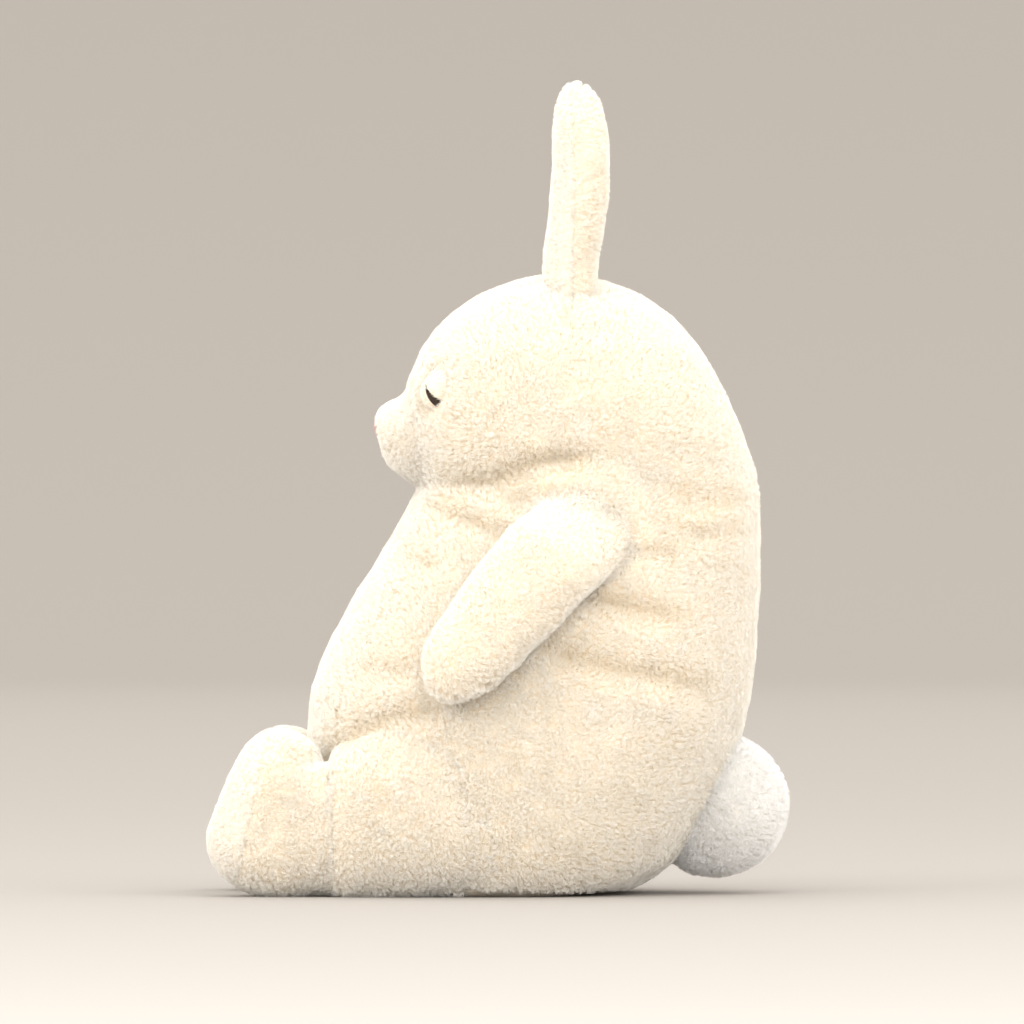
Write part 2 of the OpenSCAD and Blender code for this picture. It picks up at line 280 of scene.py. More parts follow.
# Folds seen from the side: points (back, up), depth and width in mm
bodyFolds = [
    {"line": [(-34, 231), (-23, 232), (-12, 233), (-1, 233), (9, 239), (20, 244), (38, 245),
              (62, 246)], "depth": 3.2, "width": 6.5},
    {"line": [(-40, 220), (-20, 213), (-9, 208), (10, 202)], "depth": 2.8, "width": 5},
    {"line": [(2, 228), (12, 220), (22, 223), (40, 231)], "depth": 1.3, "width": 5},
    {"line": [(64, 220), (71, 205), (71, 192), (62, 180)], "depth": 2.0, "width": 5},
    {"line": [(66, 194), (84, 193), (104, 191)], "depth": 1.8, "width": 5},
    {"line": [(32, 175), (50, 168), (64, 164), (106, 156)], "depth": 3.2, "width": 6.5},
    {"line": [(20, 144), (50, 131), (72, 127), (98, 122), (122, 116)], "depth": 2.8, "width": 6.5},
    {"line": [(-110, 50), (-100, 66), (-89, 80), (-74, 93), (-56, 101), (-30, 106)],
     "depth": 2.8, "width": 6},
    {"line": [(34, 336), (45, 336.5), (57, 335)], "depth": 3, "width": 3},
    {"line": [(41, 340), (40, 328), (39, 315)], "depth": 3, "width": 3},
    {"line": [(-78, 128), (-60, 126), (-40, 130)], "depth": 1.5, "width": 5},
    {"line": [(-56, 190), (-40, 186), (-24, 180)], "depth": 1.5, "width": 5},
    {"line": [(92, 228), (116, 222), (138, 224)], "depth": 1.5, "width": 6},
    {"line": [(86, 208), (112, 203), (136, 206)], "depth": 1.2, "width": 6},
]
footFolds = [
    {"line": [(-131, 44), (-134, 33), (-143, 23)], "depth": 1.5, "width": 3},
    {"line": [(-123, 54), (-106, 51)], "depth": 1.5, "width": 3},
]
# Where the face swells or sinks: a point (back, up) in mm, its reach and its lift
# "across" says whether the swell also runs over the middle of the face
faceSwells = [
    {"at": (-18, 254), "reach": 22, "lift": 2.5, "across": False},    # cheek
    {"at": (-46, 278), "reach": 6.5, "lift": 1.6, "across": False},   # before the eye
    {"at": (-47, 288), "reach": 8, "lift": 3.5, "across": True},      # bridge of the nose
    {"at": (-74, 270), "reach": 7, "lift": 2.0, "across": True},      # tip of the nose
    {"at": (-66, 247), "reach": 9, "lift": -2.5, "across": True},     # mouth
    {"at": (-57, 233), "reach": 10, "lift": -4, "across": True},      # chin
]


# How far flat points lie from a line, and how strong it still is there, fading at its ends
def distanceTo(line, flat):
    line = np.array(line, float) * mm
    lengths = np.linalg.norm(line[1:] - line[:-1], axis=1)
    best = np.full(len(flat), 1e9)
    place = np.zeros(len(flat))
    travelled = 0
    for start, end, length in zip(line[:-1], line[1:], lengths):
        along = end - start
        share = np.clip(((flat - start) @ along) / (along @ along), 0, 1)
        gap = np.linalg.norm(flat - start - share[:, None] * along, axis=1)
        closer = gap < best
        best[closer] = gap[closer]
        place[closer] = (travelled + share * length)[closer]
        travelled += length
    toEnd = np.clip(np.minimum(place, travelled - place) / (0.3 * travelled), 0, 1)
    return best, toEnd * (2 - toEnd)


# Presses folds into both sides of a form, and keeps how deep each point lies as "fold", used later for
# painted shade in the creases
def pressFolds(piece, folds, swells=()):
    points, faces = readMesh(piece.data)
    normals = pointNormals(piece.data)
    sideways = np.clip((np.abs(normals[:, 0]) - 0.05) / 0.3, 0, 1)
    lift = np.zeros(len(points))
    whole = np.zeros(len(points))
    deep = np.zeros(len(points))
    for fold in folds:
        gap, strength = distanceTo(fold["line"], points[:, 1:])
        gap /= fold["width"] * mm
        valley = np.exp(-gap ** 2) * strength
        shoulder = np.exp(-((gap - 1.9) / 1.1) ** 2) * strength
        lift += fold["depth"] * mm * (0.35 * shoulder - valley)
        deep = np.maximum(deep, valley * min(fold["depth"] / 4, 1))
    for swell in swells:
        gap = np.linalg.norm(points[:, 1:] - np.array(swell["at"]) * mm, axis=1)
        grown = swell["lift"] * mm * np.exp(-(gap / (swell["reach"] * mm)) ** 2)
        if swell["across"]:
            whole += grown
        else:
            lift += grown
    writePoints(piece.data, points + normals * (lift * sideways + whole)[:, None])
    keepFold(piece, deep * sideways)


def keepFold(piece, deep):
    layer = piece.data.attributes.get("fold") or piece.data.attributes.new("fold", "FLOAT", "POINT")
    layer.data.foreach_set("value", deep.astype(np.float32))


def readFold(mesh):
    layer = mesh.attributes.get("fold")
    deep = np.zeros(len(mesh.vertices))
    if layer:
        layer.data.foreach_get("value", deep)
    return deep


# Smooths a form only where share is high, so that two forms run into each other
def easeJunction(form, share, rounds):
    group = form.vertex_groups.new(name="junction")
    steps = np.round(share * 10)
    for step in range(1, 11):
        group.add(np.flatnonzero(steps == step).tolist(), step / 10, "REPLACE")
    addModifier(form, "SMOOTH", factor=0.7, iterations=rounds, vertex_group="junction")
    applyModifiers(form)
    form.vertex_groups.clear()


def buildBody():
    bridge = bridgedTorso()
    torso = softForm("torsoForm", [bridge.data], 3 * mm, 10, 0.4 * mm)
    forms = [bridge, torso]
    for side in sideSign:
        forms.append(softForm("legForm", nodeMeshes("leg_stuffing_" + side), 2.5 * mm, 4,
                              bodyLook["clothAndEase"]))
    forms.append(softForm("muzzleForm", nodeMeshes("muzzle_stuffing"), 1.6 * mm, 4,
                          bodyLook["clothAndEase"]))
    body = softForm("bodyForm", [form.data for form in forms[1:]], bodyLook["voxel"], 7, 0)
    torsoTree, owners = treeOf([torso.data])
    addedTree, owners = treeOf([form.data for form in forms[2:]])
    points, faces = readMesh(body.data)
    gaps = nearest(torsoTree, points)[0] ** 2 + nearest(addedTree, points)[0] ** 2
    easeJunction(body, np.exp(-gaps / bodyLook["fillet"] ** 2), bodyLook["filletRounds"])
    removeForms(*forms)
    pressFolds(body, bodyFolds, faceSwells)
    return body


limbLook = {
    "ear": {"core": "ear_wadding_", "grow": 2.8 * mm, "voxel": 1.6 * mm, "rounds": 3,
            "panels": ["ear_back_", "ear_lining_"], "joint": "ear_flop_",
            "way": (0, 0, 1), "from": 0 * mm, "to": 24 * mm},
    "arm": {"core": "arm_stuffing_", "grow": 3.3 * mm, "voxel": 2 * mm, "rounds": 4,
            "panels": ["arm_outer_", "arm_inner_"], "joint": "arm_swing_",
            "way": (0.237, -0.643, -0.728), "from": -30 * mm, "to": 34 * mm},
    "foot": {"core": "foot_stuffing_", "grow": 3.3 * mm, "voxel": 2 * mm, "rounds": 4,
             "panels": ["foot_upper_", "foot_sole_"], "joint": "foot_tilt_",
             "way": (0, -1, 0), "from": -14 * mm, "to": 14 * mm},
    "tail": {"core": "tail_stuffing", "grow": 3.3 * mm, "voxel": 2 * mm, "rounds": 4,
             "panels": ["tail_half_left", "tail_half_right"], "joint": "tail_wag",
             "way": (0, 1, 0), "from": -10 * mm, "to": 26 * mm},
}
weldLook = {"voxel": 2.0 * mm, "rounds": 12, "clear": 0.6 * mm, "near": 12 * mm,
            "fillet": {"arm": 14 * mm, "foot": 9 * mm}, "filletRounds": 55}


def limbList():
    limbs = []
    for kind, look in limbLook.items():
        for side in sideSign if kind != "tail" else [""]:
            limb = dict(look, kind=kind, side=side, name=(kind + "_" + side).rstrip("_"))
            limb["way"] = np.array(look["way"]) * (sideSign.get(side, 1), 1, 1)
            limb["core"] = look["core"] + side
            limb["joint"] = look["joint"] + side
            limb["panels"] = [panel + side for panel in look["panels"]]
            limbs.append(limb)
    return limbs


armRoot = {
    "outward": (0.951, 0, 0.309),
    "flush": -34 * mm,         # along the arm from its joint: the root lies under the body's skin
    "full": 32 * mm,           # the arm has its full height
    "bodyRadius": 95 * mm,     # of the body's side, which the root follows
    "under": {"skin": 1 * mm, "filling": 5 * mm},
    "free": (20 * mm, 42 * mm),   # along the arm: from held by the body to hanging free of it
    "gap": {"skin": 4.6 * mm, "filling": 8 * mm},
}


# Lays the arm's root down so that the shoulder runs smoothly into the arm
def sinkShoulder(core, limb, part):
    pivot = np.array(joints[limb["joint"]]["pos_m"])
    outward = np.array(armRoot["outward"]) * (sideSign[limb["side"]], 1, 1)
    points, faces = readMesh(core.data)
    along = (points - pivot) @ limb["way"]
    across = (points - pivot) @ np.cross(limb["way"], outward)
    height = (points - pivot) @ outward
    share = np.clip((along - armRoot["flush"]) / (armRoot["full"] - armRoot["flush"]), 0, 1)
    share = share * share * (3 - 2 * share)
    floor = -(across ** 2 + np.minimum(along, 0) ** 2) / (2 * armRoot["bodyRadius"])
    floor -= armRoot["under"][part]
    drop = np.maximum(height - floor, 0) * (1 - share)
    writePoints(core.data, points - drop[:, None] * outward)


# Holds the hanging arm off the body's side, so that its sleeve is closed all round
def clearBody(core, limb, part, bodyTree):
    points, faces = readMesh(core.data)
    along = (points - np.array(joints[limb["joint"]]["pos_m"])) @ limb["way"]
    start, end = armRoot["free"]
    share = np.clip((along - start) / (end - start), 0, 1)
    for index in np.flatnonzero(share > 0):
        place, normal = bodyTree.find_nearest(Vector(points[index]))[:2]
        short = armRoot["gap"][part] - (Vector(points[index]) - place).dot(normal)
        if short > 0:
            points[index] += np.array(normal) * short * share[index]
    writePoints(core.data, points)


# The cloth that spans the ankle crease, between foot and leg
def ankleBridge(side):
    points = []
    for node, low, high in (("foot_stuffing_", -126, -100), ("leg_stuffing_", -92, -70)):
        found, faces = readMesh(frame["nodes"][node + side].data)
        back = found[:, 1] / mm
        points.append(found[(back > low) & (back < high) & (found[:, 2] < 74 * mm)])
    shell = bmesh.new()
    for point in np.concatenate(points):
        shell.verts.new(point)
    made = bmesh.ops.convex_hull(shell, input=shell.verts)
    spare = [entry for entry in made["geom_interior"] + made["geom_unused"]
             if isinstance(entry, bmesh.types.BMVert)]
    bmesh.ops.delete(shell, geom=list(dict.fromkeys(spare)), context="VERTS")
    mesh = bpy.data.meshes.new("ankleBridge")
    shell.to_mesh(mesh)
    shell.free()
    return mesh


# The biggest joined patch among the chosen faces
def biggestPatch(faces, chosen):
    byEdge = {}
    for number in np.flatnonzero(chosen):
        face = faces[number]
        for start, end in zip(face, face[1:] + face[:1]):
            byEdge.setdefault((min(start, end), max(start, end)), []).append(number)
    beside = {}
    for pair in byEdge.values():
        for number in pair:
            beside.setdefault(number, []).extend(pair)
    best, seen = [], set()
    for first in beside:
        if first in seen:
            continue
        patch, waiting = [], [first]
        seen.add(first)
        while waiting:
            number = waiting.pop()
            patch.append(number)
            for other in beside[number]:
                if other not in seen:
                    seen.add(other)
                    waiting.append(other)
        if len(patch) > len(best):
            best = patch
    kept = np.zeros(len(faces), bool)
    kept[best] = True
    return kept


# Limbs and body as one skin, so that every limb grows out of the body in a soft fillet
def buildWeld(body, limbs):
    cores = [softForm("core", nodeMeshes(limb["core"]), limb["voxel"], limb["rounds"], limb["grow"])
             for limb in limbs]
    bridges = []
    bodyTree, owners = treeOf([body.data])
    for limb, core in zip(limbs, cores):
        if limb["kind"] == "foot":
            pressFolds(core, footFolds)
            bridges.append(ankleBridge(limb["side"]))
        if limb["kind"] == "arm":
            sinkShoulder(core, limb, "skin")
            clearBody(core, limb, "skin", bodyTree)
    weld = softForm("weld", [body.data] + [core.data for core in cores] + bridges,
                    weldLook["voxel"], weldLook["rounds"], 0.2 * mm)
    coreTree, owners = treeOf([core.data for core in cores])
    points, faces = readMesh(weld.data)
    toCore = nearest(coreTree, points)
    reach = np.array([weldLook["fillet"].get(limb["kind"], 0.1 * mm) for limb in limbs])
    gaps = (toCore[0] ** 2 + nearest(bodyTree, points)[0] ** 2) / reach[owners[toCore[1]]] ** 2
    easeJunction(weld, np.exp(-gaps), weldLook["filletRounds"])
    centres = faceCentres(weld.data)
    nearCore = nearest(coreTree, centres)
    nearBody = nearest(bodyTree, centres)
    isLimb = (nearBody[0] > weldLook["clear"]) & (nearCore[0] < weldLook["near"])
    whose = owners[nearCore[1]]
    points, faces = readMesh(weld.data)
    patches = [biggestPatch(faces, isLimb & (whose == number)) for number in range(len(limbs))]
    removeForms(*cores)
    return weld, patches


reliefLook = [
    {"kind": "CLOUDS", "scale": 46 * mm, "lift": 2.6 * mm},   # soft unevenness of the filling
    {"kind": "CLOUDS", "scale": 13 * mm, "lift": 1.2 * mm},
    {"kind": "VORONOI", "scale": 4.6 * mm, "lift": 0.7 * mm},   # tufts
]


def addRelief(form):
    fold = readFold(form.data)
    for entry in reliefLook:
        texture = bpy.data.textures.new("relief", entry["kind"])
        texture.noise_scale = entry["scale"]
        if entry["kind"] == "CLOUDS":
            texture.noise_depth = 2
        addModifier(form, "DISPLACE", texture=texture, texture_coords="LOCAL",
                    strength=entry["lift"], mid_level=0.5)
    applyModifiers(form)
    keepFold(form, fold)


def shareFaces(form, nodeNames):
    tree, owners = treeOf(nodeMeshes(*nodeNames))
    return owners[nearest(tree, faceCentres(form.data))[1]]


# Sinks the points where two panels meet, as a seam does
def sinkSeams(form, owner, chosen, depth):
    points, faces = readMesh(form.data)
    low = np.full(len(points), 99)
    high = np.full(len(points), -1)
    for face, number, mine in zip(faces, owner, chosen):
        if mine:
            for corner in face:
                low[corner] = min(low[corner], number)
                high[corner] = max(high[corner], number)
    seam = high > low
    points[seam] -= pointNormals(form.data)[seam] * depth
    writePoints(form.data, points)


# One closed panel: the chosen outer faces, a lining inside them and a folded edge
def cutPanel(name, form, chosen, cloth):
    points, faces = readMesh(form.data)
    normals = pointNormals(form.data)
    fold = readFold(form.data)
    kept = [face for face, mine in zip(faces, chosen) if mine]
    used = np.unique(np.concatenate([np.array(face) for face in kept]))
    place = np.full(len(points), -1)
    place[used] = np.arange(len(used))
    outer = [tuple(int(place[corner]) for corner in face) for face in kept]
    count = len(used)
    edges = {}
    for face in outer:
        for start, end in zip(face, face[1:] + face[:1]):
            if (end, start) in edges:
                del edges[(end, start)]
            else:
                edges[(start, end)] = True
    inner = [tuple(corner + count for corner in reversed(face)) for face in outer]
    hem = [(end, start, start + count, end + count) for start, end in edges]
    allPoints = np.concatenate([points[used], points[used] - normals[used] * cloth])
    piece = makePiece(name, allPoints, outer + inner + hem)
    shadeSmooth(piece)
    keepFold(piece, np.concatenate([fold[used], fold[used]]))
    # painted shade: the fold depth as a colour layer, which darkens the strands in the creases
    creaseShadeLayer = piece.data.color_attributes.new("foldTint", "BYTE_COLOR", "CORNER")
    corners = np.empty(len(piece.data.loops), int)
    piece.data.loops.foreach_get("vertex_index", corners)
    deep = np.concatenate([fold[used], fold[used]])[corners]
    creaseShadeLayer.data.foreach_set("color", np.stack([deep, deep, deep, np.ones(len(deep))], 1).ravel())
    piece["outerPoints"] = count
    return piece


pileLook = {
    "length": 4.5 * mm,
    "tuftSpacing": 2.4 * mm,
    "strands": 16,             # per tuft
    "root": 0.14 * mm,
    "tip": 0.06 * mm,
    "curl": 0.5 * mm,
    "curls": 2.5,              # turns along a strand
    "clump": 0.45,
    "stray": 0.75 * mm,        # how far a strand wanders off its tuft
}
pileOf = {
    "side_panel_": 1.0, "crown_gusset": 1.0, "belly_panel": 1.0, "muzzle_panel": 1.0,
    "leg_panel_": 1.0, "ear_back_": 0.8, "ear_lining_": 0.6, "arm_": 0.9,
    "foot_upper_": 0.9, "foot_sole_": 0.75, "tail_half_": 1.25,
}


def pileLength(node):
    for start, length in pileOf.items():
        if node.startswith(start):
            return length
    return 0


# Where pile is cut short: the length left at a place, and from where to where it grows again
trimLook = {
    "eye": {"left": 0.2, "from": 8 * mm, "over": 12 * mm},
    "bridge": {"left": 0.35, "from": 8 * mm, "over": 24 * mm, "at": (0, -62 * mm, 276 * mm)},
    "nose": {"left": 0.05, "from": 7 * mm, "over": 10 * mm},
}


def pileTrim(points):
    trim = np.ones(len(points))
    places = [("eye", nodeMiddle("eyelid_left")), ("eye", nodeMiddle("eyelid_right")),
              ("bridge", np.array(trimLook["bridge"]["at"])), ("nose", nodeMiddle("nose_embroidery"))]
    for name, place in places:
        look = trimLook[name]
        grown = np.clip((np.linalg.norm(points - place, axis=1) - look["from"]) / look["over"], 0, 1)
        trim = np.minimum(trim, look["left"] + (1 - look["left"]) * grown)
    return trim


def growPile(piece, seed, length, material, trimmed=True):
    count = piece["outerPoints"]
    points, faces = readMesh(piece.data)
    area = sum(polygon.area for polygon in piece.data.polygons) / 2
    trim = np.round(pileTrim(points[:count]) * 20) if trimmed else np.full(count, 20)
    lengthGroup = piece.vertex_groups.new(name="pileLength")
    for level in np.unique(trim):
        lengthGroup.add(np.flatnonzero(trim == level).tolist(), level / 20, "REPLACE")
    coverGroup = piece.vertex_groups.new(name="pileCover")
    coverGroup.add(list(range(count)), 1.0, "REPLACE")
    piece.modifiers.new("pile", "PARTICLE_SYSTEM")
    system = piece.particle_systems[-1]
    system.seed = seed
    system.vertex_group_density = "pileCover"
    system.vertex_group_length = "pileLength"
    pile = system.settings
    pile.type = "HAIR"
    pile.count = int(area / pileLook["tuftSpacing"] ** 2)
    pile.hair_length = pileLook["length"] * length
    pile.hair_step = 4
    pile.render_step = 3
    pile.display_step = 2
    pile.child_type = "INTERPOLATED"
    pile.rendered_child_count = pileLook["strands"]
    pile.child_percent = 1
    pile.clump_factor = pileLook["clump"]
    pile.clump_shape = 0.1
    pile.roughness_1 = pileLook["stray"] * 1.6
    pile.roughness_1_size = 3 * mm
    pile.roughness_2 = pileLook["stray"]
    pile.roughness_2_size = 1.5 * mm
    pile.roughness_endpoint = pileLook["stray"]
    pile.kink = "CURL"
    pile.kink_amplitude = pileLook["curl"] * math.sqrt(length)
    pile.kink_frequency = pileLook["curls"]
    pile.root_radius = pileLook["root"]
    pile.tip_radius = pileLook["tip"]
    pile.radius_scale = 1
    pile.material_slot = material.name


def newMaterial(name):
    material = bpy.data.materials.new(name)
    material.use_nodes = True
    nodes = material.node_tree.nodes
    return material, nodes, material.node_tree.links, nodes["Principled BSDF"]


def newGroup(name, inputs, outputs):
    group = bpy.data.node_groups.new(name, "ShaderNodeTree")
    for label, kind, value in inputs:
        socket = group.interface.new_socket(label, in_out="INPUT", socket_type=kind)
        socket.default_value = value
    for label, kind in outputs:
        group.interface.new_socket(label, in_out="OUTPUT", socket_type=kind)
    return group, group.nodes.new("NodeGroupInput"), group.nodes.new("NodeGroupOutput")


def noiseNode(nodes, links, place, scale, detail, rough=0.6):
    noise = nodes.new("ShaderNodeTexNoise")
    noise.inputs["Scale"].default_value = scale
    noise.inputs["Detail"].default_value = detail
    noise.inputs["Roughness"].default_value = rough
    links.new(place, noise.inputs["Vector"])
    return noise.outputs["Fac"]


def rangeNode(nodes, links, value, low, high, newLow=0.0, newHigh=1.0):
    fit = nodes.new("ShaderNodeMapRange")
    labels = ("From Min", "From Max", "To Min", "To Max")
    for label, number in zip(labels, (low, high, newLow, newHigh)):
        fit.inputs[label].default_value = number
    links.new(value, fit.inputs["Value"])
    return fit.outputs["Result"]


def mathNode(nodes, links, operation, first, second):
    node = nodes.new("ShaderNodeMath")
    node.operation = operation
    for socket, value in zip(node.inputs, (first, second)):
        if isinstance(value, (int, float)):
            socket.default_value = value
        else:
            links.new(value, socket)
    return node.outputs["Value"]


def mixColor(nodes, links, share, first, second):
    mix = nodes.new("ShaderNodeMix")
    mix.data_type = "RGBA"
    links.new(share, mix.inputs["Factor"])
    for label, color in (("A", first), ("B", second)):
        socket = [entry for entry in mix.inputs if entry.name == label and entry.type == "RGBA"][0]
        if isinstance(color, tuple):
            socket.default_value = (*color, 1)
        else:
            links.new(color, socket)
    return [entry for entry in mix.outputs if entry.type == "RGBA"][0]


# Curly pile seen as a surface: tufts, with painted warm shade at the roots between them and painted
# shade in the creases
def buildPileGroup():
    group, start, end = newGroup(
        "curlyPile",
        [("Place", "NodeSocketVector", (0, 0, 0)), ("Fold", "NodeSocketFloat", 0),
         ("Tip", "NodeSocketColor", (0.95, 0.9, 0.8, 1)),
         ("Root", "NodeSocketColor", (0.8, 0.65, 0.45, 1)),
         ("Curl Size", "NodeSocketFloat", 1)],
        [("Color", "NodeSocketColor"), ("Height", "NodeSocketFloat"), ("Roughness", "NodeSocketFloat")])
    nodes, links = group.nodes, group.links
    scaled = nodes.new("ShaderNodeVectorMath")
    scaled.operation = "SCALE"
    links.new(start.outputs["Place"], scaled.inputs[0])
    links.new(start.outputs["Curl Size"], scaled.inputs["Scale"])
    warp = noiseNode(nodes, links, scaled.outputs[0], 260, 2)
    bent = nodes.new("ShaderNodeVectorMath")
    bent.operation = "ADD"
    links.new(scaled.outputs[0], bent.inputs[0])
    push = mathNode(nodes, links, "MULTIPLY", warp, 0.006)
    links.new(push, bent.inputs[1])
    tuft = nodes.new("ShaderNodeTexVoronoi")
    tuft.feature = "SMOOTH_F1"
    tuft.inputs["Scale"].default_value = 230
    links.new(bent.outputs[0], tuft.inputs["Vector"])
    tuftHeight = rangeNode(nodes, links, tuft.outputs["Distance"], 0.0, 0.75, 1, 0)
    curl = noiseNode(nodes, links, bent.outputs[0], 900, 3)
    wisp = noiseNode(nodes, links, bent.outputs[0], 2600, 2)
    height = mathNode(nodes, links, "ADD", mathNode(nodes, links, "MULTIPLY", tuftHeight, 0.55),
                      mathNode(nodes, links, "ADD", mathNode(nodes, links, "MULTIPLY", curl, 0.6),
                               mathNode(nodes, links, "MULTIPLY", wisp, 0.2)))
    links.new(height, end.inputs["Height"])
    patch = noiseNode(nodes, links, start.outputs["Place"], 22, 3)
    # painted shade: the low places between the tufts take the root colour
    shade = rangeNode(nodes, links, height, 0.35, 0.85)
    worn = mathNode(nodes, links, "MULTIPLY", rangeNode(nodes, links, patch, 0.35, 0.7), 0.22)
    share = mathNode(nodes, links, "SUBTRACT", shade, worn)
    # painted shade: the creases are pushed further toward the root colour
    foldShade = mathNode(nodes, links, "MULTIPLY", start.outputs["Fold"], 0.75)
    share = mathNode(nodes, links, "SUBTRACT", share, foldShade)
    clamp = nodes.new("ShaderNodeClamp")
    links.new(share, clamp.inputs["Value"])
    color = mixColor(nodes, links, clamp.outputs["Result"], start.outputs["Root"], start.outputs["Tip"])
    links.new(color, end.inputs["Color"])
    links.new(rangeNode(nodes, links, height, 0.3, 0.9, 0.98, 0.86), end.inputs["Roughness"])
    return group


# tip is the pile's own cream; root is painted warm shade between the tufts and in the creases
pileFinish = {
    "creamPile": {"tip": (0.94, 0.89, 0.79), "root": (0.88, 0.75, 0.57), "curl": 1.0, "depth": 0.8},
    "palePile": {"tip": (0.94, 0.90, 0.82), "root": (0.89, 0.80, 0.66), "curl": 1.3, "depth": 0.5},
    "tailPile": {"tip": (0.94, 0.92, 0.88), "root": (0.88, 0.84, 0.76), "curl": 0.9, "depth": 0.8},
}


def pileCloth(name, group):
    finish = pileFinish[name]
    material, nodes, links, shader = newMaterial(name)
    # painted shade in the creases, from the fold depth
    fold = nodes.new("ShaderNodeAttribute")
    fold.attribute_name = "fold"
    pile = addGroup(nodes, links, group)
    links.new(fold.outputs["Fac"], pile.inputs["Fold"])
    pile.inputs["Tip"].default_value = (*finish["tip"], 1)
    pile.inputs["Root"].default_value = (*finish["root"], 1)
    pile.inputs["Curl Size"].default_value = finish["curl"]
    addBump(nodes, links, pile.outputs["Height"], shader, finish["depth"], 1.2 * mm)
    links.new(pile.outputs["Color"], shader.inputs["Base Color"])
    links.new(pile.outputs["Roughness"], shader.inputs["Roughness"])
    shader.inputs["Specular IOR Level"].default_value = 0.2
    shader.inputs["Sheen Weight"].default_value = 0.25
    shader.inputs["Sheen Roughness"].default_value = 0.6
    return material


# tip is the strand's own cream; root is painted warm shade at the foot of the pile
strandFinish = {
    "creamStrand": {"tip": (0.99, 0.965, 0.905), "root": (0.96, 0.855, 0.68)},
    "paleStrand": {"tip": (0.99, 0.967, 0.915), "root": (0.965, 0.885, 0.755)},
    "tailStrand": {"tip": (0.99, 0.987, 0.975), "root": (0.985, 0.967, 0.935)},
}


def strandMaterial(name):
    finish = strandFinish[name]
    material, nodes, links, shader = newMaterial(name)
    strand = nodes.new("ShaderNodeHairInfo")
    # the strand runs from root to tip colour: the darker root is painted shade deep in the pile
    share = rangeNode(nodes, links, strand.outputs["Intercept"], 0.0, 0.75)
    # painted shade in the creases: the fold layer pushes the strands toward the root colour
    fold = nodes.new("ShaderNodeAttribute")
    fold.attribute_name = "foldTint"
    creaseShade = mathNode(nodes, links, "MULTIPLY", fold.outputs["Fac"], 0.8)
    kept = mathNode(nodes, links, "SUBTRACT", share, creaseShade)
    color = mixColor(nodes, links, rangeNode(nodes, links, kept, 0, 1), finish["root"], finish["tip"])
    links.new(color, shader.inputs["Base Color"])
    shader.inputs["Roughness"].default_value = 0.8
    shader.inputs["Specular IOR Level"].default_value = 0.15
    return material


# Fine grain of wadding, plastic or thread
def buildGrainGroup():
    group, start, end = newGroup(
        "fineGrain",
        [("Place", "NodeSocketVector", (0, 0, 0)), ("Scale", "NodeSocketFloat", 240),
         ("Dark", "NodeSocketColor", (0.7, 0.7, 0.7, 1)),
         ("Light", "NodeSocketColor", (0.9, 0.9, 0.9, 1)),
         ("Rough", "NodeSocketFloat", 0.8)],
        [("Color", "NodeSocketColor"), ("Height", "NodeSocketFloat"), ("Roughness", "NodeSocketFloat")])
    nodes, links = group.nodes, group.links
    grain = noiseNode(nodes, links, start.outputs["Place"], 240, 5)
    links.new(start.outputs["Scale"], grain.node.inputs["Scale"])
    mask = rangeNode(nodes, links, grain, 0.3, 0.7)
    color = mixColor(nodes, links, mask, start.outputs["Dark"], start.outputs["Light"])
    links.new(color, end.inputs["Color"])
    links.new(grain, end.inputs["Height"])
    wear = rangeNode(nodes, links, mask, 0, 1, 1, 0.9)
    links.new(mathNode(nodes, links, "MULTIPLY", start.outputs["Rough"], wear), end.inputs["Roughness"])
    return group


# Plain weave: two sets of threads crossing
def buildWeaveGroup():
    group, start, end = newGroup(
        "plainWeave",
        [("Place", "NodeSocketVector", (0, 0, 0)), ("Dark", "NodeSocketColor", (0.7, 0.66, 0.58, 1)),
         ("Light", "NodeSocketColor", (0.86, 0.83, 0.75, 1))],
        [("Color", "NodeSocketColor"), ("Height", "NodeSocketFloat")])
    nodes, links = group.nodes, group.links
    bands = []
    for direction in ("X", "Y"):
        wave = nodes.new("ShaderNodeTexWave")
        wave.bands_direction = direction
        wave.inputs["Scale"].default_value = 420
        wave.inputs["Distortion"].default_value = 0.6
        links.new(start.outputs["Place"], wave.inputs["Vector"])
        bands.append(wave.outputs["Fac"])
    height = mathNode(nodes, links, "MAXIMUM", bands[0], bands[1])
    links.new(height, end.inputs["Height"])
    links.new(mixColor(nodes, links, height, start.outputs["Dark"], start.outputs["Light"]),
              end.inputs["Color"])
    return group


def addGroup(nodes, links, group):
    place = nodes.new("ShaderNodeTexCoord")
    effect = nodes.new("ShaderNodeGroup")
    effect.node_tree = group
    links.new(place.outputs["Object"], effect.inputs["Place"])
    return effect


def addBump(nodes, links, height, shader, strength, distance):
    bump = nodes.new("ShaderNodeBump")
    bump.inputs["Strength"].default_value = strength
    bump.inputs["Distance"].default_value = distance
    links.new(height, bump.inputs["Height"])
    links.new(bump.outputs["Normal"], shader.inputs["Normal"])


plainLook = {
    "wadding": {"color": (0.90, 0.90, 0.88), "rough": 0.95, "scale": 240, "depth": 1 * mm,
                "dark": 0.12},
    "pellets": {"color": (0.80, 0.80, 0.77), "rough": 0.5, "scale": 200, "depth": 0.5 * mm,
                "dark": 0.1},
    "eyePlastic": {"color": (0.035, 0.018, 0.010), "rough": 0.08, "scale": 90, "depth": 0.01 * mm,
                   "dark": 0.3},
    "washerPlastic": {"color": (0.80, 0.80, 0.77), "rough": 0.45, "scale": 300, "depth": 0.05 * mm,
                      "dark": 0.08},
    "noseThread": {"color": (0.66, 0.45, 0.43), "rough": 0.6, "scale": 900, "depth": 0.1 * mm,
                   "dark": 0.2},
    "closingThread": {"color": (0.84, 0.74, 0.58), "rough": 0.7, "scale": 900, "depth": 0.1 * mm,
                      "dark": 0.2},
}


